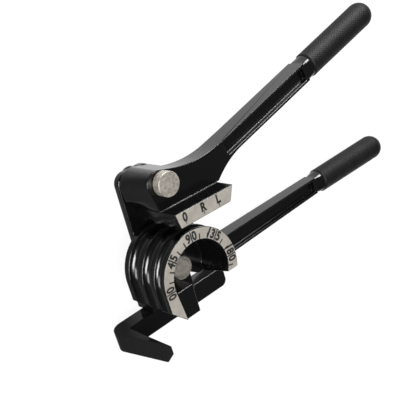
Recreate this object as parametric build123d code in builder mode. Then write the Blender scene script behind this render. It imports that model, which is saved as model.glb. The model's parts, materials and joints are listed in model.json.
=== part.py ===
"""Manual lever tube bender for 1/4, 5/16 and 3/8 inch soft tube, bends of 0 to 180 degrees.

The origin is on the axis of the centre pin, in the flat back face of the fixed handle.
+Z runs along both pins to the degree scale, +X along the fixed handle to its grip.
The moving handle and its link stand at the bend angle `bend_shown`.
"""
from build123d import *
from math import acos, atan2, cos, degrees, radians, sin, sqrt
import os

os.makedirs("parts", exist_ok=True)

# ---- driving dimensions, mm ----
tube_sizes = {"large": 9.525, "middle": 7.9375, "small": 6.35}
bend_radius = 23.8           # centre line of every groove, 15/16 inch
groove_clearance = 0.1       # round the tube, in former and shoe
bend_shown = 91.7            # degrees of bend at which the link stands
running = 0.05               # radial clearance of a pin in its bush
seat = 0.02                  # radial clearance of a fixed pin, screw or dowel
head_play = 0.08             # radial clearance of a sunk head
past = 1.0                   # how far a cut runs on past an open face

# levels along the pins, from the back face up
bar_depth = 8.5              # fixed handle, front to back
washer_thick = 0.5
link_thick = 4.5
land = 2.0                   # flange between two grooves
back_land = 4.0              # flange behind the large groove
scale_land = 1.8             # flange under the degree scale
arm_depth = 11.5             # moving handle's arm, front to back
shoe_proud = 12.0            # scale face above the moving handle's front face

# former
recess_radius = 17.5
recess_depth = 22.0
foot_length = 18.2           # straight part beyond the 0 mark
foot_width = 17.2
foot_step = 1.2              # painted block below the scale face
foot_chamfer = 8.0
end_overrun = 7.7            # arc beyond the 180 mark, measured down from the axis
end_overrun_back = 13.6      # the same at the former's back
foot_block_top = 2.5         # top of the painted block, below the axis
foot_corner = 1.5            # round of the block's lower right corner
groove_sweep = 200.0         # degrees, from the 0 mark on past the former's end
web_right = 7.5              # web under the recess, right of the axis
web_low = 7.8                # the web's corner there, below the axis
clip_relief = 3.0            # height cut round the clip, above the recess floor

# link and pins
pivot_distance = 48.1
link_half_width = 11.6
link_crown = 5.9             # link above the lever pin
link_corner = 6.5
centre_pin_radius = 6.25
centre_pin_proud = 6.2       # above the floor of the recess
centre_head_radius = 9.5
centre_head_thick = 3.0
lever_pin_radius = 4.0
lever_head_radius = 6.5
lever_head_thick = 4.9
bush_wall = 1.5
lever_bush_length = 8.0
bush_inset = 0.2             # bush below the handle's face
clip_thick = 1.0
clip_width = 2.2
clip_groove = 0.5            # how deep a clip sits in its pin
clip_play = 0.2
pin_tip = 1.2                # pin beyond its clip
pin_chamfer = 0.5
washer_inset = 0.5           # washer inside the edge of what it bears on
washer_play = 0.1            # radial clearance of a washer on its pin
link_chamfer = 0.5

# moving handle, in the frame of the bend: X along the bent leg, Y from centre pin to lever pin
head_radius = 9.5            # round the lever pin, towards the link's side
head_corner = 7.0
head_crown = 7.4             # head above the lever pin
head_flare = 1.8             # draft of the head's side, from its front out to its back
head_flare_low = 8.1         # flared side's lower end below the lever pin
head_flare_turn = 0.6        # flared side, drawn in at its lower end
shoe_height = 8.1
shoe_gap = 3.0               # shoe above the former's rim
shoe_start = -6.2
shoe_end = 32.6
shoe_slant = 3.2
shoe_corner = 1.0
shoe_ledge = 1.5             # handle beyond the shoe's far end
groove_past = 12.0           # straight cut of the grooves past the shoe's ends
arm_angle = 15.3
arm_width = 10.9
arm_offset = 10.7            # arm's centre line below the lever pin, square to the arm
arm_length = 120.0           # lever pin to grip
web_height = 6.0             # web behind the arm, above the shoe
web_drop = 4.0
neck_start_along = 52.0      # where the arm's lower edge turns down to the shoe
panel_near = 42.0            # lever pin to the panel, along the arm
back_curve = 60.0
top_slope = 15.0             # head's top, falling from the head to the arm, degrees

# fixed handle
bar_top = -10.3
bar_width = 10.2             # at the grip
bar_width_root = 12.7        # at the former
bar_root = 42.0
bar_length = 134.0           # centre pin to grip
hub_radius = 13.0
pad_left = -14.5
pad_right = 12.0
boss_gap = 0.7               # boss clear of the link's swing

# I-beam panels of both handles
flange = 1.5
panel_depth = 3.1
panel_round = 0.75
panel_end = 1.8              # panel short of the handle's neck

# grips
grip_length = 61.5
grip_radius = 7.5
grip_wall = 2.9
grip_swell = 0.3             # larger at the outer end
grip_clearance = 0.05
neck_length = 6.0
tail_end_wall = 6.0          # grip beyond the handle's tail
grip_vent = 1.3              # radius of the hole in the grip's end
grip_edge = 0.7              # chamfer at the mouth
tail_play = 0.6              # behind the tail, inside the grip
neck_radius = 6.9
neck_round = 2.0             # corners of the handle where the neck begins

# hook
hook_top = -23.4
hook_height = 11.2
hook_depth = 10.5
hook_left = -38.0
hook_back = 3.1              # hook above the back face
hook_right = 37.3
hook_arm_front = 1.3         # arm's thickness where the bevel of its tip begins
hook_arm_tip = 0.8
hook_shoulder = 2.0          # outer side's taper begins this far behind the bar's front
hook_clearance = 2.4         # beside the largest tube
hook_bend = 8.0
hook_beyond = 2.0            # tip above the scale face
hook_tip_chamfer = 6.6       # bevel of the tip's lower corner
hook_end_round = 3.7

# fasteners
screw_radius = 2.0
screw_head_radius = 3.5
screw_head_height = 4.0
screw_sink = 0.3             # head below its face
screw_hex = 1.5              # half the key's width across flats
screw_key_depth = 2.0
screw_grip_former = 9.0      # thread in the former
screw_grip_pad = 6.0         # thread in the fixed handle's pad
screw_short = 0.5            # screw short of its hole's end
former_screw_x = (-11.0, 0.5)
hook_screw_x = (-9.0, 7.5)
dowel_radius = 1.5
dowel_length = 12.0
dowel_x = -5.2

# ---- worked out from the above ----
groove = {name: size / 2 + groove_clearance for name, size in tube_sizes.items()}
link_bottom = bar_depth + washer_thick
link_top = link_bottom + link_thick
former_bottom = link_top + washer_thick
groove_z = {}
level = former_bottom + back_land - land
for name in ("large", "middle", "small"):
    groove_z[name] = level + land + groove[name]
    level = groove_z[name] + groove[name]
scale_z = level + scale_land
recess_floor = scale_z - recess_depth
boss_top = -link_half_width - boss_gap
boss_y = (boss_top - foot_length) / 2
lever_front = scale_z - shoe_proud
lever_back = former_bottom
shoe_bottom = bend_radius + shoe_gap
shoe_top = shoe_bottom + shoe_height
link_angle = 180 - bend_shown
swing = Plane.XY.rotated((0, 0, link_angle - 90))
pivot = Vector(0, pivot_distance)
arm_run = Vector(cos(radians(arm_angle)), sin(radians(arm_angle)))
arm_up = Vector(-arm_run.Y, arm_run.X)
arm_foot = pivot - arm_up * arm_offset
bar_mid_end = bar_top - bar_width / 2
tail_length = grip_length - tail_end_wall
head_sink = screw_head_height + screw_sink
hook_front = hook_back + hook_depth
hook_mid = hook_back + hook_depth / 2
hook_inner = -(bend_radius + tube_sizes["large"] / 2 + hook_clearance)


def on_arm(along, up):
    """Point in the bend's frame, from the lever pin's foot on the arm's centre line."""
    return arm_foot + arm_run * along + arm_up * up


def save(builder, label):
    builder.part.label = label
    export_step(builder.part, f"parts/{label}.step")


def ring(plane, outer, inner, height):
    """Plain ring, such as a washer or a bush."""
    with BuildPart() as piece:
        with BuildSketch(plane):
            Circle(outer)
            Circle(inner, mode=Mode.SUBTRACT)
        extrude(amount=height)
    return piece


def clip(plane, pin_radius):
    """Open retaining ring that sits in a pin's groove."""
    with BuildPart() as piece:
        with BuildSketch(plane):
            Circle(pin_radius + clip_width)
            Circle(pin_radius - clip_groove + seat, mode=Mode.SUBTRACT)
            with Locations((0, -pin_radius - clip_width / 2)):
                Rectangle(pin_radius, 2 * clip_width, mode=Mode.SUBTRACT)
        extrude(amount=clip_thick)
    return piece


def socket_screws(planes, length):
    """Socket head cap screws. Each plane lies under a head and faces away from the thread."""
    with BuildPart() as piece:
        for plane in planes:
            with BuildSketch(plane):
                Circle(screw_head_radius)
            extrude(amount=screw_head_height)
            with BuildSketch(plane):
                Circle(screw_radius)
            extrude(amount=-length)
            with BuildSketch(plane.offset(screw_head_height)):
                RegularPolygon(screw_hex, 6, major_radius=False)
            extrude(amount=-screw_key_depth, mode=Mode.SUBTRACT)
    return piece


def hand_grip(plane, length):
    """Sleeve on a handle's round tail. The plane's normal runs out along the handle."""
    tail = grip_radius - grip_wall
    with BuildPart() as piece:
        with BuildSketch(Plane(plane.origin, x_dir=plane.x_dir, z_dir=plane.y_dir)):
            with BuildLine():
                end = grip_radius + grip_swell
                Polyline((0, 0), (grip_radius - grip_edge, 0), (grip_radius, -grip_edge), (end, end - length))
                RadiusArc((end, end - length), (0, -length), end)
                Line((0, -length), (0, 0))
            make_face()
        revolve(axis=Axis(plane.origin, plane.z_dir))
        with BuildSketch(plane):
            Circle(tail + grip_clearance)
        extrude(amount=tail_length + tail_play, mode=Mode.SUBTRACT)
        with BuildSketch(plane):
            Circle(grip_vent)
        extrude(amount=length, mode=Mode.SUBTRACT)
    return piece


# ---- fixed handle: hub, pad for the hook, boss for the former, bar and tail ----
bar_end = bar_length - neck_length
root_reach = sqrt(bar_root**2 + bar_top**2)
gusset_turn = atan2(bar_top, bar_root) + acos(hub_radius / root_reach)
gusset = (hub_radius * cos(gusset_turn), hub_radius * sin(gusset_turn))
with BuildPart() as fixed_handle:
    with BuildSketch():
        Circle(hub_radius)
        Polygon(
            (0, bar_top), (0, boss_y), (pad_right, boss_y), (bar_root, bar_top - bar_width_root),
            (bar_end, bar_top - bar_width), (bar_end, bar_top), align=None,
        )
        Polygon(
            (pad_left, hook_top), (pad_right, hook_top), (pad_right, bar_top), (pad_left, bar_top),
            align=None,
        )
        # gusset: the hub's edge runs on in a straight line to the bar's top
        Polygon((0, 0), gusset, (bar_root, bar_top), (0, bar_top), align=None)
    extrude(amount=bar_depth)
    with BuildSketch(Plane.XY.offset(bar_depth)):
        Polygon(
            (pad_left, hook_top), (pad_right, hook_top), (pad_right, -foot_length),
            (web_right, boss_top), (pad_left, boss_top), align=None,
        )
    extrude(amount=former_bottom - bar_depth)
    # panels of the I-beam, front and back
    panel_start = bar_root + flange
    with BuildSketch(Plane.XY.offset(bar_depth)) as bar_panel:
        Polygon(
            (panel_start, bar_top - flange), (bar_end - panel_end, bar_top - flange),
            (bar_end - panel_end, bar_top - bar_width + flange),
            (panel_start, bar_top - bar_width_root + flange), align=None,
        )
        fillet(bar_panel.vertices(), panel_round)
    extrude(amount=-panel_depth, mode=Mode.SUBTRACT)
    with BuildSketch() as back_panel:
        add(bar_panel.sketch.moved(Location((0, 0, -bar_depth))))
    extrude(amount=panel_depth, mode=Mode.SUBTRACT)
    # neck and round tail
    bar_axis = Plane((bar_end, bar_mid_end, bar_depth / 2), x_dir=(0, 0, 1), z_dir=(1, 0, 0))
    with BuildSketch(bar_axis):
        RectangleRounded(bar_depth, bar_width, neck_round)
    with BuildSketch(bar_axis.offset(neck_length)):
        Circle(neck_radius)
    loft()
    with BuildSketch(bar_axis.offset(neck_length)):
        Circle(grip_radius - grip_wall)
    extrude(amount=tail_length)
    # bore of the centre pin, sunk for its head, and the holes of the fasteners
    with Locations(Location((0, 0, 0), (180, 0, 0))):
        CounterBoreHole(
            centre_pin_radius + seat, centre_head_radius + head_play, centre_head_thick + screw_sink,
        )
    for x in former_screw_x:
        with Locations(Location((x, boss_y, 0), (180, 0, 0))):
            CounterBoreHole(screw_radius + seat, screw_head_radius + head_play, head_sink)
    with BuildSketch(Plane.XY.offset(former_bottom)):
        with Locations((dowel_x, boss_y)):
            Circle(dowel_radius + seat)
    extrude(amount=-dowel_length / 2 - seat, mode=Mode.SUBTRACT)
    for x in hook_screw_x:
        with BuildSketch(Plane((x, hook_top, hook_mid), x_dir=(1, 0, 0), z_dir=(0, 1, 0))):
            Circle(screw_radius + seat)
        extrude(amount=screw_grip_pad, mode=Mode.SUBTRACT)
save(fixed_handle, "fixed_handle")

# ---- former: three grooves round half a disc, a straight foot and the degree scale's face ----
end_x = sqrt(bend_radius**2 - end_overrun_back**2)
inner_x = sqrt(recess_radius**2 - end_overrun**2)
block_right = foot_width - bend_radius
with BuildPart() as bending_former:
    with BuildSketch(Plane.XY.offset(former_bottom)) as former_outline:
        with BuildLine():
            CenterArc((0, 0), bend_radius, 180, -180 - degrees(atan2(end_overrun_back, end_x)))
            Polyline(
                (end_x, -end_overrun_back), (inner_x, -end_overrun_back), (web_right, -web_low),
                (web_right, -foot_length),
                (-bend_radius + foot_chamfer, -foot_length), (-bend_radius, -foot_length + foot_chamfer),
                (-bend_radius, 0),
            )
        make_face()
        fillet(former_outline.vertices().sort_by_distance((web_right, -foot_length))[0], foot_corner)
    extrude(amount=scale_z - former_bottom)
    # underside beyond the 180 mark, lower at the back
    with BuildSketch(Plane.YZ.offset(web_right)):
        Polygon(
            (-end_overrun, scale_z), (-end_overrun_back, former_bottom),
            (-foot_length - past, former_bottom), (-foot_length - past, scale_z), align=None,
        )
    extrude(amount=bend_radius, mode=Mode.SUBTRACT)
    # recess inside the scale; the foot stays a solid block, painted in front
    with BuildSketch(Plane.XY.offset(recess_floor)):
        Circle(recess_radius)
        Polygon(
            (block_right, 0), (inner_x, 0), (inner_x, -foot_length - past),
            (block_right, -foot_length - past), align=None,
        )
        Polygon(
            (-bend_radius, -foot_block_top), (block_right, -foot_block_top),
            (block_right, -foot_length), (-bend_radius, -foot_length), align=None, mode=Mode.SUBTRACT,
        )
    extrude(amount=scale_z - recess_floor, mode=Mode.SUBTRACT)
    with BuildSketch(Plane.XY.offset(recess_floor)):
        Circle(centre_pin_radius + clip_width + clip_play)
    extrude(amount=clip_relief, mode=Mode.SUBTRACT)
    with BuildSketch(Plane.XY.offset(scale_z)):
        Polygon(
            (-recess_radius, 0), (0, 0), (0, -foot_length - past),
            (-bend_radius + foot_chamfer, -foot_length - past), (-bend_radius + foot_chamfer, -foot_length),
            align=None,
        )
    extrude(amount=-foot_step, mode=Mode.SUBTRACT)
    # tube grooves: an arc over the disc and a straight run along the foot
    for name, radius in groove.items():
        with BuildSketch(Plane.XZ):
            with Locations((-bend_radius, groove_z[name])):
                Circle(radius)
        revolve(axis=Axis.Z, revolution_arc=-groove_sweep, mode=Mode.SUBTRACT)
        with BuildSketch(Plane.XZ):
            with Locations((-bend_radius, groove_z[name])):
                Circle(radius)
        extrude(amount=foot_length + past, mode=Mode.SUBTRACT)
    # centre pin, screws and dowel
    with BuildSketch(Plane.XY.offset(former_bottom)):
        Circle(centre_pin_radius + seat)
    extrude(amount=scale_z, mode=Mode.SUBTRACT)
    with BuildSketch(Plane.XY.offset(former_bottom)):
        with Locations(*[(x, boss_y) for x in former_screw_x]):
            Circle(screw_radius + seat)
    extrude(amount=screw_grip_former + seat, mode=Mode.SUBTRACT)
    with BuildSketch(Plane.XY.offset(former_bottom)):
        with Locations((dowel_x, boss_y)):
            Circle(dowel_radius + seat)
    extrude(amount=dowel_length / 2 + seat, mode=Mode.SUBTRACT)
save(bending_former, "bending_former")

# ---- hook that holds the tube to the foot ----
hook_z = scale_z + hook_beyond
with BuildPart() as tube_hook:
    with BuildSketch(Plane.XZ.offset(-hook_top)) as profile:
        Polygon(
            (hook_right, hook_back), (hook_right, hook_front), (hook_inner, hook_front),
            (hook_inner, hook_z), (hook_inner - hook_arm_tip, hook_z),
            (hook_inner - hook_arm_front, hook_z - hook_tip_chamfer),
            (hook_left, hook_front - hook_shoulder), (hook_left, hook_back), align=None,
        )
        corner = profile.vertices().group_by(Axis.X)[0].sort_by(Axis.Y)
        fillet(corner[0], hook_bend)
    extrude(amount=hook_height)
    with BuildSketch(Plane.YZ.offset(hook_left)):
        low = hook_top - hook_height
        Polygon(
            (low, hook_z), (low + hook_tip_chamfer, hook_z), (low, hook_z - hook_tip_chamfer), align=None,
        )
    extrude(amount=hook_inner - hook_left + past, mode=Mode.SUBTRACT)
    end_edges = tube_hook.edges().filter_by(Axis.Z).group_by(Axis.X)[-1]
    fillet(end_edges, hook_end_round)
    for x in hook_screw_x:
        with BuildSketch(Plane((x, hook_top - hook_height, hook_mid), x_dir=(1, 0, 0), z_dir=(0, 1, 0))):
            Circle(screw_radius + seat)
        extrude(amount=2 * hook_height, mode=Mode.SUBTRACT)
        with BuildSketch(Plane((x, hook_top - hook_height, hook_mid), x_dir=(1, 0, 0), z_dir=(0, 1, 0))):
            Circle(screw_head_radius + head_play)
        extrude(amount=head_sink, mode=Mode.SUBTRACT)
save(tube_hook, "tube_hook")

# ---- fasteners of the fixed body ----
under = Plane((0, 0, head_sink), x_dir=(1, 0, 0), z_dir=(0, 0, -1))
former_screw_length = former_bottom + screw_grip_former - screw_short - under.origin.Z
former_screws = socket_screws(
    [Plane(under.origin + Vector(x, boss_y), x_dir=(1, 0, 0), z_dir=(0, 0, -1)) for x in former_screw_x],
    former_screw_length,
)
save(former_screws, "former_screws")

hook_head_y = hook_top - hook_height + head_sink
hook_screws = socket_screws(
    [Plane((x, hook_head_y, hook_mid), x_dir=(1, 0, 0), z_dir=(0, -1, 0)) for x in hook_screw_x],
    hook_top - hook_head_y + screw_grip_pad - screw_short,
)
save(hook_screws, "hook_screws")

with BuildPart() as former_dowel:
    with BuildSketch(Plane.XY.offset(former_bottom - dowel_length / 2)):
        with Locations((dowel_x, boss_y)):
            Circle(dowel_radius)
    extrude(amount=dowel_length)
    chamfer(former_dowel.edges().filter_by(GeomType.CIRCLE), pin_chamfer)
save(former_dowel, "former_dowel")

# ---- centre pin, its clip and washers ----
centre_pin_top = recess_floor + centre_pin_proud
centre_clip_z = recess_floor + clip_play
with BuildPart() as centre_pin:
    with BuildSketch(Plane.XY.offset(screw_sink)):
        Circle(centre_head_radius)
    extrude(amount=centre_head_thick)
    with BuildSketch(Plane.XY.offset(screw_sink)):
        Circle(centre_pin_radius)
    extrude(amount=centre_pin_top - screw_sink)
    with BuildSketch(Plane.XY.offset(centre_clip_z - seat)):
        Circle(centre_pin_radius)
        Circle(centre_pin_radius - clip_groove, mode=Mode.SUBTRACT)
    extrude(amount=clip_thick + 2 * seat, mode=Mode.SUBTRACT)
    chamfer(centre_pin.edges().group_by(Axis.Z)[-1], pin_chamfer)
    chamfer(centre_pin.edges().group_by(Axis.Z)[0], pin_chamfer)
save(centre_pin, "centre_pin")

centre_clip = clip(Plane.XY.offset(centre_clip_z), centre_pin_radius)
save(centre_clip, "centre_pin_clip")

washer_bore = centre_pin_radius + washer_play
for label, z in (("rear_thrust_washer", bar_depth), ("front_thrust_washer", link_top)):
    save(ring(Plane.XY.offset(z), link_half_width - washer_inset, washer_bore, washer_thick), label)

# ---- link: swings about the centre pin and carries the lever pin ----
centre_bush_radius = centre_pin_radius + running + bush_wall
with BuildPart() as link_plate:
    with BuildSketch(swing.offset(link_bottom)) as link_outline:
        Circle(link_half_width)
        Rectangle(2 * link_half_width, pivot_distance + link_crown, align=(Align.CENTER, Align.MIN))
        fillet(link_outline.vertices().group_by(Axis.Y)[-1], link_corner)
    extrude(amount=link_thick)
    chamfer(link_plate.edges().group_by(Axis.Z)[0] + link_plate.edges().group_by(Axis.Z)[-1], link_chamfer)
    with BuildSketch(swing.offset(link_bottom)):
        Circle(centre_bush_radius + seat)
        with Locations(pivot):
            Circle(lever_pin_radius + seat)
    extrude(amount=link_thick, mode=Mode.SUBTRACT)
save(link_plate, "link_plate")

link_bush = ring(
    Plane.XY.offset(link_bottom), centre_bush_radius, centre_pin_radius + running, link_thick,
)
save(link_bush, "link_bush")

lever_clip_z = link_bottom - clip_play - clip_thick
lever_head_z = lever_front + washer_thick
with BuildPart() as lever_pin:
    with BuildSketch(swing.offset(lever_clip_z - pin_tip)):
        with Locations(pivot):
            Circle(lever_pin_radius)
    extrude(amount=lever_head_z + pin_tip - lever_clip_z)
    with BuildSketch(swing.offset(lever_clip_z - seat)):
        with Locations(pivot):
            Circle(lever_pin_radius)
            Circle(lever_pin_radius - clip_groove, mode=Mode.SUBTRACT)
    extrude(amount=clip_thick + 2 * seat, mode=Mode.SUBTRACT)
    with BuildSketch(swing.offset(lever_head_z)):
        with Locations(pivot):
            Circle(lever_head_radius)
    extrude(amount=lever_head_thick)
    fillet(lever_pin.edges().group_by(Axis.Z)[-1], pin_chamfer)
    chamfer(lever_pin.edges().group_by(Axis.Z)[0], pin_chamfer)
save(lever_pin, "lever_pin")

pivot_at = swing.from_local_coords(pivot)
at_pivot = Plane(pivot_at, x_dir=swing.x_dir, z_dir=(0, 0, 1))
save(clip(at_pivot.offset(lever_clip_z), lever_pin_radius), "lever_pin_clip")

lever_washer_bore = lever_pin_radius + washer_play
for label, z, radius in (
    ("lever_rear_washer", link_top, head_crown - washer_inset),
    ("lever_head_washer", lever_front, lever_head_radius - washer_inset),
):
    save(ring(at_pivot.offset(z), radius, lever_washer_bore, washer_thick), label)

# ---- moving handle: head, shoe and arm in one casting ----
lever_bush_radius = lever_pin_radius + running + bush_wall
arm_end = arm_length - neck_length
half_arm = arm_width / 2
ledge_end = Vector(shoe_end + shoe_ledge, shoe_top)
top_drop = Vector(sin(radians(top_slope)), cos(radians(top_slope)))
head_corner_mid = pivot + Vector(head_corner - head_radius, head_crown - head_corner)
head_top = head_corner_mid + top_drop * head_corner
head_side = head_corner_mid - Vector(head_corner, 0)
top_line = Vector(cos(radians(top_slope)), -sin(radians(top_slope)))
arm_level = on_arm(0, half_arm)
# corner where the head's falling top meets the arm's rising one
meet = (arm_level - head_top).cross(arm_run).Z / top_line.cross(arm_run).Z
top_corner = head_top + top_line * meet
shoe_left_top = Vector(shoe_start, shoe_top)
flare_side = head_side - Vector(head_flare, head_flare)
flare_low = Vector(-head_radius - head_flare + head_flare_turn, pivot_distance - head_flare_low)
# point of the straight front side at the same height, so that both ends of the flare match
side_share = (head_side.Y - flare_low.Y) / (head_side.Y - shoe_left_top.Y)
front_low = head_side + (shoe_left_top - head_side) * side_share
with BuildPart() as moving_handle:
    # outline of head and arm, seen from the front
    with BuildSketch(swing.offset(lever_front)) as outline:
        with BuildLine():
            lower = Line(on_arm(arm_end, -half_arm), on_arm(neck_start_along, -half_arm))
            TangentArc(lower @ 1, ledge_end, tangent=lower % 1)
            Line(ledge_end, shoe_left_top)
            Line(shoe_left_top, head_side)
            ThreePointArc(head_side, head_corner_mid + Vector(-head_corner, head_corner) / sqrt(2), head_top)
            FilletPolyline(head_top, top_corner, on_arm(arm_end, half_arm), radius=back_curve)
            Line(on_arm(arm_end, half_arm), on_arm(arm_end, -half_arm))
        make_face()
    extrude(amount=-arm_depth)
    # head to its full depth behind the arm: barrel round the pin and web down to the shoe
    with BuildSketch(swing.offset(lever_back)):
        add(outline.sketch_local)
        Polygon(
            (-head_radius, shoe_top), (shoe_end, shoe_top), (shoe_end, shoe_top + web_height),
            (head_radius + web_height, pivot_distance - web_drop), (head_radius, pivot_distance),
            (head_radius, pivot_distance + head_radius), (-head_radius, pivot_distance + head_radius),
            align=None, mode=Mode.INTERSECT,
        )
    extrude(amount=lever_front - arm_depth - lever_back)
    # side of the head, drafted outwards from the front to the link
    for z, side, low in ((lever_front, head_side, front_low), (lever_back, flare_side, flare_low)):
        with BuildSketch(swing.offset(z)):
            with BuildLine():
                TangentArc(side, head_top, tangent=(0, 1))
                Polyline(head_top, (0, shoe_top), shoe_left_top, low, side)
            make_face()
    loft(ruled=True)
    # shoe, standing forward to the level of the scale
    with BuildSketch(swing.offset(lever_back)):
        Polygon(
            (shoe_start, shoe_top), (shoe_start + shoe_slant / 2, shoe_bottom),
            (shoe_end - shoe_slant - shoe_corner, shoe_bottom),
            (shoe_end - shoe_slant, shoe_bottom + shoe_corner),
            (shoe_end, shoe_top), align=None,
        )
    extrude(amount=scale_z - lever_back)
    for name, radius in groove.items():
        groove_start = swing.from_local_coords(Vector(shoe_start - groove_past, bend_radius, groove_z[name]))
        with BuildSketch(Plane(groove_start, x_dir=swing.y_dir, z_dir=swing.x_dir)):
            Circle(radius)
        extrude(amount=shoe_end - shoe_start + 2 * groove_past, mode=Mode.SUBTRACT)
    # panels of the I-beam, front and back
    with BuildSketch(swing.offset(lever_front)) as arm_panel:
        Polygon(
            *[on_arm(along, up) for along, up in (
                (panel_near, half_arm - flange), (arm_end - panel_end, half_arm - flange),
                (arm_end - panel_end, flange - half_arm), (panel_near, flange - half_arm),
            )],
            align=None,
        )
        fillet(arm_panel.vertices(), panel_round)
    extrude(amount=-panel_depth, mode=Mode.SUBTRACT)
    with BuildSketch(swing.offset(lever_front - arm_depth)):
        add(arm_panel.sketch_local)
    extrude(amount=panel_depth, mode=Mode.SUBTRACT)
    # neck and round tail
    arm_axis = Plane(
        swing.from_local_coords(on_arm(arm_end, 0) + Vector(0, 0, lever_front - arm_depth / 2)),
        x_dir=(0, 0, 1),
        z_dir=arm_run.rotate(Axis.Z, link_angle - 90),
    )
    with BuildSketch(arm_axis):
        RectangleRounded(arm_depth, arm_width, neck_round)
    with BuildSketch(arm_axis.offset(neck_length)):
        Circle(neck_radius)
    loft()
    with BuildSketch(arm_axis.offset(neck_length)):
        Circle(grip_radius - grip_wall)
    extrude(amount=tail_length)
    # bore of the two bushes
    with BuildSketch(swing.offset(lever_back)):
        with Locations(pivot):
            Circle(lever_bush_radius + seat)
    extrude(amount=lever_front - lever_back, mode=Mode.SUBTRACT)
save(moving_handle, "moving_handle")

front_bush_z = lever_front - lever_bush_length - bush_inset
for label, z in (("lever_rear_bush", lever_back + bush_inset), ("lever_front_bush", front_bush_z)):
    save(ring(at_pivot.offset(z), lever_bush_radius, lever_pin_radius + running, lever_bush_length), label)

# ---- grips ----
save(hand_grip(bar_axis.offset(neck_length), grip_length), "fixed_grip")
save(hand_grip(arm_axis.offset(neck_length), grip_length), "moving_grip")
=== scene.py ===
# Hand tube bender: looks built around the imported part, in metres, in the same frame.
import bmesh
import bpy
import json
import math
from mathutils import Matrix, Vector
from mathutils.bvhtree import BVHTree
from mathutils.kdtree import KDTree


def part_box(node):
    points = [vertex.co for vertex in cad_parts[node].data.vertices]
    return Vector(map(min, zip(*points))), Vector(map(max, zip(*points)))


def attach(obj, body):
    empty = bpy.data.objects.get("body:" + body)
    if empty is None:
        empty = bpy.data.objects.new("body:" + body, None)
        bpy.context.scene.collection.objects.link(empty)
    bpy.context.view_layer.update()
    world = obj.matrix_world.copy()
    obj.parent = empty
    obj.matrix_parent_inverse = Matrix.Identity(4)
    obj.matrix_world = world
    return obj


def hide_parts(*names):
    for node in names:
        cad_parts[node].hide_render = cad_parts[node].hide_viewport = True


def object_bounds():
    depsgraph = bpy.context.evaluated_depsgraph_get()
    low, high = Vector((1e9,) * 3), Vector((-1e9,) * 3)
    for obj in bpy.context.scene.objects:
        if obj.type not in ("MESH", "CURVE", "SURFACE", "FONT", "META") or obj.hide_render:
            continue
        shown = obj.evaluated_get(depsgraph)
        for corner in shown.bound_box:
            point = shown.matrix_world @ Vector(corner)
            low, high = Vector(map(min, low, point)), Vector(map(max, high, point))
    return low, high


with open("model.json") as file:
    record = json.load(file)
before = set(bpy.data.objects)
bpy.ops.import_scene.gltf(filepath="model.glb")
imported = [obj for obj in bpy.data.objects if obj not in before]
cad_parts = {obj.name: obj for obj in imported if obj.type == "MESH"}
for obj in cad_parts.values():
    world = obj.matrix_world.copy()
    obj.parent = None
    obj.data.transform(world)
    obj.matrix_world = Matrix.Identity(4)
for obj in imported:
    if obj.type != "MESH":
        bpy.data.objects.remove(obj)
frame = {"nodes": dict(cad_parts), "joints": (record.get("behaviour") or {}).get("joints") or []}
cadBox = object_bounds()
mm = 0.001
scene = bpy.context.scene
nodes = frame["nodes"]
print("frame loaded,", len(nodes), "nodes")


def linearColour(hexText):
    # sRGB hex to linear light, with full alpha
    channels = [int(hexText[i:i + 2], 16) / 255 for i in (1, 3, 5)]
    return [c / 12.92 if c <= 0.04045 else ((c + 0.055) / 1.055) ** 2.4 for c in channels] + [1.0]


def addNode(tree, kind, inputs=(), **settings):
    # Inputs go by name or number, or in order as a list. A socket is linked, anything else is the
    # input's own value. A Mix node has its share at 0, its numbers at 2 and 3, its colours at 6 and 7.
    node = tree.nodes.new("ShaderNode" + kind)
    for name, value in settings.items():
        setattr(node, name, value)
    for name, value in inputs.items() if isinstance(inputs, dict) else enumerate(inputs):
        if isinstance(value, bpy.types.NodeSocket):
            tree.links.new(value, node.inputs[name])
        else:
            node.inputs[name].default_value = value
    return node


def startMaterial(name):
    # empty material with its place in millimetres, so that a pattern's scale is 1 / its size
    material = bpy.data.materials.new(name)
    material.use_nodes = True
    tree = material.node_tree
    tree.nodes.clear()
    place = addNode(tree, "TexCoord").outputs["Object"]
    place = addNode(tree, "Mapping", {"Vector": place, "Scale": (1 / mm, 1 / mm, 1 / mm)}).outputs["Vector"]
    return material, tree, place


# In each finish, a pattern's scale is 1 / its size in mm, and a range maps low and high to low and high.

alloy = {
    "light": "#a9a49c", "dark": "#908a82", "metal": 0.55, "faceDepth": 0.05 * mm,
    "grain": {"Scale": 1 / 0.7, "Detail": 4, "Roughness": 0.7},
    "blotch": {"Scale": 1 / 6.0, "Detail": 2, "Roughness": 0.55},
    "colourRange": (0.7, 1.3, 0.0, 1.0), "roughRange": (0.3, 0.7, 0.42, 0.6),
}


def machinedAlloy(tree, place):
    # Face-milled die-cast alloy: warm light grey, satin, with fine grain and faint darker blotches.
    a = alloy
    grain = addNode(tree, "TexNoise", {"Vector": place, **a["grain"]}).outputs["Fac"]
    blotch = addNode(tree, "TexNoise", {"Vector": place, **a["blotch"]}).outputs["Fac"]
    both = addNode(tree, "Math", [grain, blotch], operation="ADD").outputs[0]
    share = addNode(tree, "MapRange", [both, *a["colourRange"]]).outputs["Result"]
    ends = {6: linearColour(a["dark"]), 7: linearColour(a["light"])}
    colour = addNode(tree, "Mix", {0: share, **ends}, data_type="RGBA").outputs[2]
    return colour, addNode(tree, "MapRange", [grain, *a["roughRange"]]).outputs["Result"]


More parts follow.
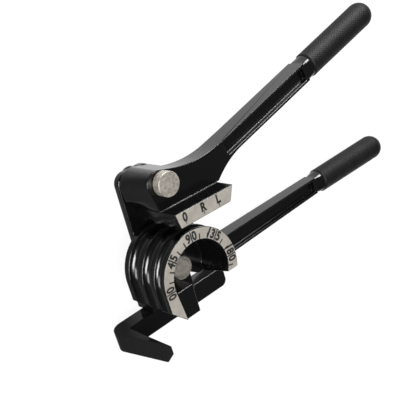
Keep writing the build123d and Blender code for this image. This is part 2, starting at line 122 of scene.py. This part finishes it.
enamel = {
    "colour": "#070708", "thinPaintAndHighlight": "#1c1c1d", "edgeRadius": 0.45 * mm,
    "peel": {"Scale": 1 / 2.2, "Detail": 2, "Roughness": 0.55}, "peelDepth": 0.004 * mm,
    "cast": {"Scale": 1 / 0.6, "Detail": 3, "Roughness": 0.55}, "castDepth": 0.0008 * mm,
    "patches": {"Scale": 1 / 9.0, "Detail": 2, "Roughness": 0.55}, "roughRange": (0.3, 0.7, 0.13, 0.19),
    "breaks": {"Scale": 1 / 2.5, "Detail": 3, "Roughness": 0.55}, "breaksRange": (0.35, 0.7, 0.1, 1.0),
    "edgeRange": (0.99, 0.72, 0.0, 1.0),
}


def blackEnamel(name, machinedAbove=None):
    # Stoved black enamel, sprayed over a die casting. It is deep black and glossy, with a slight
    # orange peel and softened edges. Along the edges the colour is lighter in patches, partly thinner paint
    # and partly a painted highlight. Where machinedAbove is given, the face above that height is bare
    # machined alloy instead.
    e = enamel
    material, tree, place = startMaterial(name)
    rounded = addNode(tree, "Bevel", {"Radius": e["edgeRadius"]}, samples=4).outputs["Normal"]
    flat = addNode(tree, "NewGeometry").outputs["True Normal"]
    # an edge is where the rounded normal leaves the flat one; its lighter colour comes in patches, partly
    # thin paint and partly a painted highlight
    along = addNode(tree, "VectorMath", [rounded, flat], operation="DOT_PRODUCT").outputs["Value"]
    edge = addNode(tree, "MapRange", [along, *e["edgeRange"]]).outputs["Result"]
    breaks = addNode(tree, "TexNoise", {"Vector": place, **e["breaks"]}).outputs["Fac"]
    brokenPaintAndHighlight = addNode(tree, "MapRange", [breaks, *e["breaksRange"]]).outputs["Result"]
    # the lighter edge patches are thinner paint and also a painted highlight along every edge
    wear = addNode(tree, "Math", [edge, brokenPaintAndHighlight], operation="MULTIPLY").outputs[0]
    ends = {6: linearColour(e["colour"]), 7: linearColour(e["thinPaintAndHighlight"])}
    colour = addNode(tree, "Mix", {0: wear, **ends}, data_type="RGBA").outputs[2]
    patches = addNode(tree, "TexNoise", {"Vector": place, **e["patches"]}).outputs["Fac"]
    rough = addNode(tree, "MapRange", [patches, *e["roughRange"]]).outputs["Result"]
    metal = 0.0
    normal = rounded
    for pattern, depth in (("peel", "peelDepth"), ("cast", "castDepth")):
        height = addNode(tree, "TexNoise", {"Vector": place, **e[pattern]}).outputs["Fac"]
        normal = addNode(tree, "Bump", {
            "Height": height, "Distance": e[depth], "Strength": 1.0, "Normal": normal,
        }).outputs["Normal"]
    if machinedAbove:
        height = addNode(tree, "SeparateXYZ", {"Vector": place}).outputs["Z"]
        face = addNode(tree, "Math", [height, machinedAbove / mm], operation="GREATER_THAN").outputs[0]
        alloyColour, alloyRough = machinedAlloy(tree, place)
        colour = addNode(tree, "Mix", {0: face, 6: colour, 7: alloyColour}, data_type="RGBA").outputs[2]
        rough = addNode(tree, "Mix", {0: face, 2: rough, 3: alloyRough}, data_type="FLOAT").outputs[0]
        metal = addNode(tree, "Mix", {0: face, 2: 0.0, 3: alloy["metal"]}, data_type="FLOAT").outputs[0]
    shader = addNode(tree, "BsdfPrincipled", {
        "Base Color": colour, "Roughness": rough, "Metallic": metal, "Normal": normal,
    })
    addNode(tree, "OutputMaterial", {"Surface": shader.outputs["BSDF"]})
    return material


# the steel pins are partly covered by dull oxide, so they aren't all metal
pinMetal = {"light": "#b3ada4", "dark": "#87817a", "metal": 0.65, "roughRange": (0.3, 0.7, 0.32, 0.5)}
clipMetal = {"light": "#5d5a56", "dark": "#36342f", "metal": 1.0, "roughRange": (0.3, 0.7, 0.34, 0.52)}
bushMetal = {"light": "#a8804a", "dark": "#7c5c33", "metal": 1.0, "roughRange": (0.3, 0.7, 0.36, 0.54)}
tumbled = {
    "edgeRadius": 0.25 * mm, "mottleDepth": 0.02 * mm, "mottleRange": (0.36, 0.62, 0.0, 1.0),
    "mottle": {"Scale": 1 / 1.5, "Detail": 4, "Roughness": 0.65},
    "grain": {"Scale": 1 / 0.25, "Detail": 2, "Roughness": 0.55},
}


def tumbledMetal(name, metal):
    # Turned and tumbled metal: a cloudy, mottled face and fine scratches.
    t = tumbled
    material, tree, place = startMaterial(name)
    rounded = addNode(tree, "Bevel", {"Radius": t["edgeRadius"]}, samples=4).outputs["Normal"]
    mottle = addNode(tree, "TexNoise", {"Vector": place, **t["mottle"]}).outputs["Fac"]
    grain = addNode(tree, "TexNoise", {"Vector": place, **t["grain"]}).outputs["Fac"]
    share = addNode(tree, "MapRange", [mottle, *t["mottleRange"]]).outputs["Result"]
    ends = {6: linearColour(metal["dark"]), 7: linearColour(metal["light"])}
    shader = addNode(tree, "BsdfPrincipled", {
        "Base Color": addNode(tree, "Mix", {0: share, **ends}, data_type="RGBA").outputs[2],
        "Roughness": addNode(tree, "MapRange", [grain, *metal["roughRange"]]).outputs["Result"],
        "Metallic": metal["metal"],
        "Normal": addNode(tree, "Bump", {
            "Height": mottle, "Distance": t["mottleDepth"], "Strength": 1.0, "Normal": rounded,
        }).outputs["Normal"],
    })
    addNode(tree, "OutputMaterial", {"Surface": shader.outputs["BSDF"]})
    return material


gripVinyl = {
    "dark": "#060606", "rubbed": "#0d0d0d", "specular": 0.22,
    "rub": {"Scale": 1 / 7.0, "Detail": 3, "Roughness": 0.55}, "rubRange": (0.35, 0.68, 0.0, 1.0),
    "grain": {"Scale": 1 / 0.35, "Detail": 3, "Roughness": 0.55}, "grainDepth": 0.01 * mm,
    "roughRange": (0.3, 0.7, 0.45, 0.6),
}


def mouldedVinyl(name):
    # Moulded vinyl grip: charcoal, dull, a little lighter where hands have rubbed it.
    v = gripVinyl
    material, tree, place = startMaterial(name)
    rub = addNode(tree, "TexNoise", {"Vector": place, **v["rub"]}).outputs["Fac"]
    grain = addNode(tree, "TexNoise", {"Vector": place, **v["grain"]}).outputs["Fac"]
    share = addNode(tree, "MapRange", [rub, *v["rubRange"]]).outputs["Result"]
    ends = {6: linearColour(v["dark"]), 7: linearColour(v["rubbed"])}
    shader = addNode(tree, "BsdfPrincipled", {
        "Base Color": addNode(tree, "Mix", {0: share, **ends}, data_type="RGBA").outputs[2],
        "Roughness": addNode(tree, "MapRange", [grain, *v["roughRange"]]).outputs["Result"],
        "Specular IOR Level": v["specular"],
        "Normal": addNode(tree, "Bump", {
            "Height": grain, "Distance": v["grainDepth"], "Strength": 1.0,
        }).outputs["Normal"],
    })
    addNode(tree, "OutputMaterial", {"Surface": shader.outputs["BSDF"]})
    return material


markInk = {
    "black": "#040404", "worn": "#121110", "rough": 0.6,
    "wear": {"Scale": 1 / 0.5, "Detail": 3, "Roughness": 0.55}, "wearRange": (0.4, 0.75, 0.0, 1.0),
}


def stampedInk(name):
    # Black paint wiped into stamped marks: matt, with small breaks in its cover.
    i = markInk
    material, tree, place = startMaterial(name)
    wear = addNode(tree, "TexNoise", {"Vector": place, **i["wear"]}).outputs["Fac"]
    share = addNode(tree, "MapRange", [wear, *i["wearRange"]]).outputs["Result"]
    ends = {6: linearColour(i["black"]), 7: linearColour(i["worn"])}
    colour = addNode(tree, "Mix", {0: share, **ends}, data_type="RGBA").outputs[2]
    shader = addNode(tree, "BsdfPrincipled", {"Base Color": colour, "Roughness": i["rough"]})
    addNode(tree, "OutputMaterial", {"Surface": shader.outputs["BSDF"]})
    return material


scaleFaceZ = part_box("bending_former")[1].z
paint = blackEnamel("blackStovedEnamel")
paintAndFace = blackEnamel("blackEnamelWithMilledFace", scaleFaceZ - alloy["faceDepth"])
pinSteel = tumbledMetal("tumbledPinSteel", pinMetal)
clipSteel = tumbledMetal("phosphatedClipSteel", clipMetal)
bronze = tumbledMetal("sinteredBronze", bushMetal)
vinyl = mouldedVinyl("mouldedVinylGrip")
ink = stampedInk("stampedBlackInk")

finishes = {
    paint: ("fixed_handle", "tube_hook", "link_plate"),
    paintAndFace: ("bending_former", "moving_handle"),
    pinSteel: ("centre_pin", "lever_pin", "former_dowel"),
    clipSteel: ("former_screws", "hook_screws", "centre_pin_clip", "lever_pin_clip",
                "lever_rear_washer", "lever_head_washer"),
    bronze: ("rear_thrust_washer", "front_thrust_washer", "link_bush", "lever_rear_bush",
             "lever_front_bush"),
    vinyl: ("fixed_grip", "moving_grip"),
}
for material, names in finishes.items():
    for name in names:
        nodes[name].data.materials.clear()
        nodes[name].data.materials.append(material)
print("materials set")


rounding = {
    "edge": 0.4 * mm, "weld": 0.002 * mm,
    "sharp": 30, "crease": 50, "flat": 0.2,  # degrees
    "strayed": 1.15, "near": 2.5,  # times the edge
    "tries": 8,
}


def weldedCopy(node):
    bm = bmesh.new()
    bm.from_mesh(nodes[node].data)
    bmesh.ops.remove_doubles(bm, verts=bm.verts, dist=rounding["weld"])
    bmesh.ops.dissolve_limit(bm, angle_limit=math.radians(rounding["flat"]), verts=bm.verts, edges=bm.edges,
                             use_dissolve_boundaries=False)
    return bm


def sharpEdges(bm, kept):
    limit = math.radians(rounding["sharp"])
    return [e for e in bm.edges if e.is_manifold and e.calc_face_angle() > limit
            and not kept.intersection(v.index for v in e.verts)]


def cornerNormals(bm):
    # each corner leans to its largest face, so that wide faces stay flat and their edges turn smoothly
    crease = math.cos(math.radians(rounding["crease"]))
    leaning = {f: f.normal * f.calc_area() ** 2 for f in bm.faces}
    normals = []
    for face in bm.faces:
        for vert in face.verts:
            total = sum((leaning[f] for f in vert.link_faces if f.normal.dot(face.normal) > crease), Vector())
            normals.append(total.normalized() if total.length else face.normal)
    return normals


def bevelled(node, kept):
    # the casting bevelled except at its kept corners, and the corners near a bevel that strays
    bm = weldedCopy(node)
    bm.verts.index_update()
    surface = BVHTree.FromBMesh(bm)
    corners = KDTree(len(bm.verts))
    for vert in bm.verts:
        corners.insert(vert.co, vert.index)
    corners.balance()
    bmesh.ops.bevel(bm, geom=sharpEdges(bm, kept), offset=rounding["edge"], offset_type="OFFSET",
                    affect="EDGES", segments=2, profile=0.5, clamp_overlap=False, material=-1)
    furthest = rounding["edge"] * rounding["strayed"]
    far = {v for v in bm.verts if surface.find_nearest(v.co)[3] > furthest}
    around = {w for v in far for f in v.link_faces for w in f.verts} - far
    reach = rounding["edge"] * rounding["near"]
    return bm, {i for vert in around for _, i, _ in corners.find_range(vert.co, reach)}


def roundCasting(node, body, material):
    # The casting again with rounded edges, as the mould and the paint leave them. Where the rounding
    # would stray off the surface, the corners nearby keep their sharp edges, and it is made again.
    kept = set()
    bm, strayed = bevelled(node, kept)
    for _ in range(rounding["tries"] - 1):
        if not strayed:
            break
        kept |= strayed
        bm.free()
        bm, strayed = bevelled(node, kept)
    bm.normal_update()
    normals = cornerNormals(bm)
    mesh = bpy.data.meshes.new(node + "_casting")
    bm.to_mesh(mesh)
    bm.free()
    mesh.shade_smooth()
    mesh.normals_split_custom_set(normals)
    piece = bpy.data.objects.new(mesh.name, mesh)
    scene.collection.objects.link(piece)
    mesh.materials.append(material)
    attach(piece, body)
    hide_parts(node)


for node, body in (("fixed_handle", "fixed"), ("tube_hook", "fixed"), ("link_plate", "link")):
    roundCasting(node, body, paint)
roundCasting("bending_former", "fixed", paintAndFace)
roundCasting("moving_handle", "lever", paintAndFace)
print("castings rounded")


marks = {
    "digitHeight": 4.8 * mm, "digitNarrow": 0.84, "capShare": 0.729, "bolder": 0.042,
    "stroke": 0.72 * mm, "thick": 0.02 * mm, "gap": 0.6 * mm, "rim": 0.7 * mm,
    "ringInner": 17.5 * mm, "ringOuter": 23.8 * mm, "inset": 0.1 * mm,
    "tick": 3.1 * mm, "line": 5.8 * mm, "curveSteps": 4,
    "labels": {0: ("0", "0"), 45: ("4", "5"), 90: ("9", "0"), 135: ("13", "5"), 180: ("18", "0")},
    "lastTick": 195, "tickStep": 15,
}


def addGlyph(bm, text, height, align, matrix):
    # thin letter from Blender's own font, its foot on the matrix's origin
    curve = bpy.data.curves.new("glyph", "FONT")
    curve.body = text
    curve.align_x = align
    curve.size = height / marks["capShare"]
    curve.extrude = marks["thick"] / 2
    curve.offset = marks["bolder"] * curve.size
    curve.resolution_u = marks["curveSteps"]
    holder = bpy.data.objects.new("glyph", curve)
    scene.collection.objects.link(holder)
    bpy.context.view_layer.update()
    mesh = bpy.data.meshes.new_from_object(holder)
    bpy.data.objects.remove(holder)
    mesh.transform(Matrix.Diagonal((marks["digitNarrow"], 1, 1, 1)))
    mesh.transform(matrix)
    bm.from_mesh(mesh)


def addBar(bm, matrix, width, length):
    # thin bar from the matrix's origin along its Y
    size = Matrix.Diagonal((width, length, marks["thick"], 1))
    bmesh.ops.create_cube(bm, size=1, matrix=matrix @ Matrix.Translation((0, length / 2, 0)) @ size)


def frameAt(origin, right, up):
    # matrix whose X, Y and Z run along right, up and the face's normal
    columns = (right, up, right.cross(up), origin)
    return Matrix([[c[row] for c in columns] for row in range(3)] + [[0, 0, 0, 1]])


def finishMarks(bm, name, body):
    mesh = bpy.data.meshes.new(name)
    bm.to_mesh(mesh)
    bm.free()
    piece = bpy.data.objects.new(name, mesh)
    scene.collection.objects.link(piece)
    mesh.materials.append(ink)
    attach(piece, body)


def degreeScale():
    bm = bmesh.new()
    faceZ = scaleFaceZ + marks["thick"] / 2
    for degree in range(0, marks["lastTick"] + 1, marks["tickStep"]):
        a = math.radians(degree)
        out = Vector((-math.cos(a), math.sin(a), 0))
        along = Vector((math.sin(a), math.cos(a), 0))
        labelled = degree in marks["labels"]
        foot = out * (marks["ringInner"] + marks["inset"]) + Vector((0, 0, faceZ))
        addBar(bm, frameAt(foot, along, out), marks["stroke"], marks["line"] if labelled else marks["tick"])
        if not labelled:
            continue
        digitFoot = out * (marks["ringOuter"] - marks["digitHeight"] - marks["rim"]) + Vector((0, 0, faceZ))
        for text, align, side in zip(marks["labels"][degree], ("RIGHT", "LEFT"), (-1, 1)):
            matrix = frameAt(digitFoot + along * side * marks["gap"], along, out)
            addGlyph(bm, text, marks["digitHeight"], align, matrix)
    finishMarks(bm, "degree_scale_marks", "fixed")


shoeMarks = {
    "places": {"0": -0.8 * mm, "R": 11.2 * mm, "L": 21.3 * mm},
    "foot": 29.6 * mm, "height": 4.8 * mm, "tail": 1.8 * mm, "barWidth": 0.4 * mm, "barLength": 2.34 * mm,
}


def shoeScale():
    link = leverPivot.xy.normalized()
    up = Vector((link.x, link.y, 0))
    along = Vector((link.y, -link.x, 0))
    bm = bmesh.new()
    for text, x in shoeMarks["places"].items():
        foot = along * x + up * shoeMarks["foot"] + Vector((0, 0, scaleFaceZ + marks["thick"] / 2))
        addGlyph(bm, text, shoeMarks["height"], "CENTER", frameAt(foot, along, up))
        matrix = frameAt(foot - up * shoeMarks["tail"], along, up)
        addBar(bm, matrix, shoeMarks["barWidth"], shoeMarks["barLength"])
    finishMarks(bm, "shoe_marks", "lever")


leverPivot = Vector(next(j["pos_m"] for j in frame["joints"] if j["name"] == "lever_swing"))
degreeScale()
shoeScale()
print("scale marks stamped")


grip = {
    "length": 61.5 * mm, "mouth": 7.5 * mm, "end": 7.8 * mm, "edge": 0.7 * mm, "vent": 1.3 * mm,
    "bore": 4.65 * mm, "boreDepth": 56.1 * mm, "plain": 1.6 * mm, "row": 0.3 * mm,
    "around": 192, "domeSteps": 14, "weld": 0.0001 * mm, "skin": 0.01 * mm,
    # the diamonds
    "starts": 30, "lead": 2.0 * mm, "depth": 0.17 * mm, "fade": 1.0 * mm, "land": 0.25,
}


def diamond(u, v):
    # 0 in a groove line, 1 on a diamond's flat top
    nearest = min(abs(u - round(u)), abs(v - round(v)))
    return min(nearest / grip["land"], 1.0)


def makeGrip(name, node, body, mouth, axis):
    g = grip
    bm = bmesh.new()
    swell = (g["end"] - g["mouth"]) / (g["length"] - g["end"])
    outline = [(g["bore"], 0), (g["mouth"] - g["edge"], 0)]
    straight = g["length"] - g["end"]
    rows = round((straight - g["edge"]) / g["row"])
    for i in range(rows + 1):
        x = g["edge"] + (straight - g["edge"]) * i / rows
        outline.append((g["mouth"] + swell * x, x))
    ventAngle = math.acos(g["vent"] / g["end"])
    for i in range(1, g["domeSteps"] + 1):
        a = ventAngle * i / g["domeSteps"]
        outline.append((g["end"] * math.cos(a), straight + g["end"] * math.sin(a)))
    outline += [(g["vent"], g["boreDepth"]), (g["bore"], g["boreDepth"]), (g["bore"], 0)]
    points = [bm.verts.new((r, 0, x)) for r, x in outline[:-1]]
    points.append(points[0])
    edges = [bm.edges.new(pair) for pair in zip(points[:-1], points[1:])]
    bmesh.ops.spin(bm, geom=points[:-1] + edges, cent=(0, 0, 0), axis=(0, 0, 1), angle=math.tau,
                   steps=g["around"], use_merge=True)
    bmesh.ops.remove_doubles(bm, verts=bm.verts, dist=g["weld"])
    for vert in bm.verts:
        radius = vert.co.xy.length
        x = vert.co.z
        skin = g["mouth"] + swell * min(x, straight) - g["skin"]
        if radius < skin or not g["plain"] < x <= straight:
            continue
        turn = math.atan2(vert.co.y, vert.co.x) / math.tau * g["starts"]
        climb = x / g["lead"]
        fade = min((x - g["plain"]) / g["fade"], (straight - x) / g["fade"], 1.0)
        sink = g["depth"] * fade * (1 - diamond(turn + climb, turn - climb))
        vert.co.xy *= (radius - sink) / radius
    turnTo = Vector((0, 0, 1)).rotation_difference(axis).to_matrix().to_4x4()
    bmesh.ops.transform(bm, matrix=Matrix.Translation(mouth) @ turnTo, verts=bm.verts)
    bmesh.ops.recalc_face_normals(bm, faces=bm.faces)
    mesh = bpy.data.meshes.new(name)
    bm.to_mesh(mesh)
    bm.free()
    mesh.shade_smooth()
    piece = bpy.data.objects.new(name, mesh)
    scene.collection.objects.link(piece)
    mesh.materials.append(vinyl)
    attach(piece, body)
    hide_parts(node)


# where the CAD model has the lever's arm and the fixed handle's bar, which the grips slide on to
arm = {"offset": 10.7 * mm, "length": 120 * mm, "angle": 15.3, "depth": 11.5 * mm, "front": 36.2125 * mm}
bar = {"length": 134 * mm, "middle": -15.4 * mm, "depth": 8.5 * mm}
linkTilt = math.degrees(math.atan2(leverPivot.y, leverPivot.x)) - 90
armTurn = math.radians(arm["angle"] + linkTilt)
armRun = Vector((math.cos(armTurn), math.sin(armTurn), 0))
armUp = Vector((-armRun.y, armRun.x, 0))
armMouth = Vector((leverPivot.x, leverPivot.y, arm["front"] - arm["depth"] / 2)) - armUp * arm["offset"]
armMouth += armRun * arm["length"]
makeGrip("moving_grip_sleeve", "moving_grip", "lever", armMouth, armRun)
makeGrip("fixed_grip_sleeve", "fixed_grip", "fixed", Vector((bar["length"], bar["middle"], bar["depth"] / 2)),
         Vector((1, 0, 0)))
print("grips moulded")


studio = {
    "floorDrop": 0.4 * mm, "floorSize": 6.0, "board": "#f2f2f2", "floorShow": 0.92,
    "brightWay": (1.0, 0.0, 0.0), "shadeRange": (-24, 12, 0.03, 1.0),
    "sky": (0.1, 0.6, 0.9, 0.45), "mirroredSky": (0.1, 0.5, 0.7, 0.1), "white": (1.0, 1.0, 1.0, 1.0),
    "camera": (-0.198617, 0.175682, 0.349596), "turn": (-8.6076, -39.1819, -20.2302), "lens": 71.932,
    "sensor": 36, "clip": (0.01, 20),
}


def whiteFloor():
    # Pale board. The camera sees it nearly white, with a trace of shadow. Reflections see it white
    # along brightWay, and nearly dark the other way, over shadeRange in mm.
    material, tree, place = startMaterial("whiteBoard")
    path = addNode(tree, "LightPath")
    glossy = path.outputs["Is Glossy Ray"]
    seen = addNode(tree, "Math", [path.outputs["Is Camera Ray"], glossy], operation="MAXIMUM").outputs[0]
    seen = addNode(tree, "Math", [seen, studio["floorShow"]], operation="MULTIPLY").outputs[0]
    matt = addNode(tree, "BsdfDiffuse", {"Color": linearColour(studio["board"])}).outputs["BSDF"]
    along = addNode(tree, "VectorMath", [place, studio["brightWay"]], operation="DOT_PRODUCT")
    shade = addNode(tree, "MapRange", [along.outputs["Value"], *studio["shadeRange"]]).outputs["Result"]
    strength = addNode(tree, "Mix", {0: glossy, 2: 1.0, 3: shade}, data_type="FLOAT").outputs[0]
    glow = addNode(tree, "Emission", {"Color": studio["white"], "Strength": strength}).outputs["Emission"]
    both = addNode(tree, "MixShader", [seen, matt, glow]).outputs[0]
    addNode(tree, "OutputMaterial", {"Surface": both})
    bm = bmesh.new()
    lowest = cadBox[0][2] - studio["floorDrop"]
    bmesh.ops.create_grid(bm, x_segments=1, y_segments=1, size=studio["floorSize"] / 2,
                          matrix=Matrix.Translation((0, 0, lowest)))
    mesh = bpy.data.meshes.new("floor")
    bm.to_mesh(mesh)
    bm.free()
    floor = bpy.data.objects.new("floor", mesh)
    scene.collection.objects.link(floor)
    mesh.materials.append(material)


def skyLight():
    world = bpy.data.worlds.new("studio")
    scene.world = world
    world.use_nodes = True
    tree = world.node_tree
    tree.nodes.clear()
    path = addNode(tree, "LightPath")
    way = addNode(tree, "TexCoord").outputs["Generated"]
    up = addNode(tree, "SeparateXYZ", {"Vector": way}).outputs["Z"]
    sky = addNode(tree, "MapRange", [up, *studio["sky"]]).outputs["Result"]
    mirrored = addNode(tree, "MapRange", [up, *studio["mirroredSky"]]).outputs["Result"]
    dim = addNode(tree, "Mix", {0: path.outputs["Is Glossy Ray"], 2: sky, 3: mirrored}, data_type="FLOAT")
    clear = [path.outputs["Is Camera Ray"], path.outputs["Is Transmission Ray"]]
    seen = addNode(tree, "Math", clear, operation="MAXIMUM").outputs[0]
    strength = addNode(tree, "Mix", {0: seen, 2: dim.outputs[0], 3: 1.0}, data_type="FLOAT").outputs[0]
    back = addNode(tree, "Background", {"Color": studio["white"], "Strength": strength})
    addNode(tree, "OutputWorld", {"Surface": back.outputs["Background"]})


lamps = {
    # name: place, target, size, watts
    "softboxLeft": ((-0.80, -0.10, 0.55), (0.0, 0.0, 0.02), 0.34, 3.6),
    "softboxBack": ((0.36, 0.72, 0.44), (0.05, 0.0, 0.02), 0.42, 12.0),
    "softboxAbove": ((-0.42, 0.1, 0.88), (0.05, 0.0, 0.02), 0.35, 9.0),
}


def addLamps():
    for name, (place, target, size, watts) in lamps.items():
        data = bpy.data.lights.new(name, "AREA")
        data.energy = watts
        data.size = size
        lamp = bpy.data.objects.new(name, data)
        lamp.location = place
        lamp.rotation_euler = (Vector(target) - Vector(place)).to_track_quat("-Z", "Y").to_euler()
        scene.collection.objects.link(lamp)


def addCamera():
    data = bpy.data.cameras.new("camera")
    data.lens = studio["lens"]
    data.sensor_width = studio["sensor"]
    data.clip_start, data.clip_end = studio["clip"]
    camera = bpy.data.objects.new("camera", data)
    camera.location = studio["camera"]
    camera.rotation_euler = [math.radians(a) for a in studio["turn"]]
    scene.collection.objects.link(camera)
    scene.camera = camera


whiteFloor()
skyLight()
addLamps()
addCamera()
scene.view_settings.view_transform = "Standard"
print("studio ready")
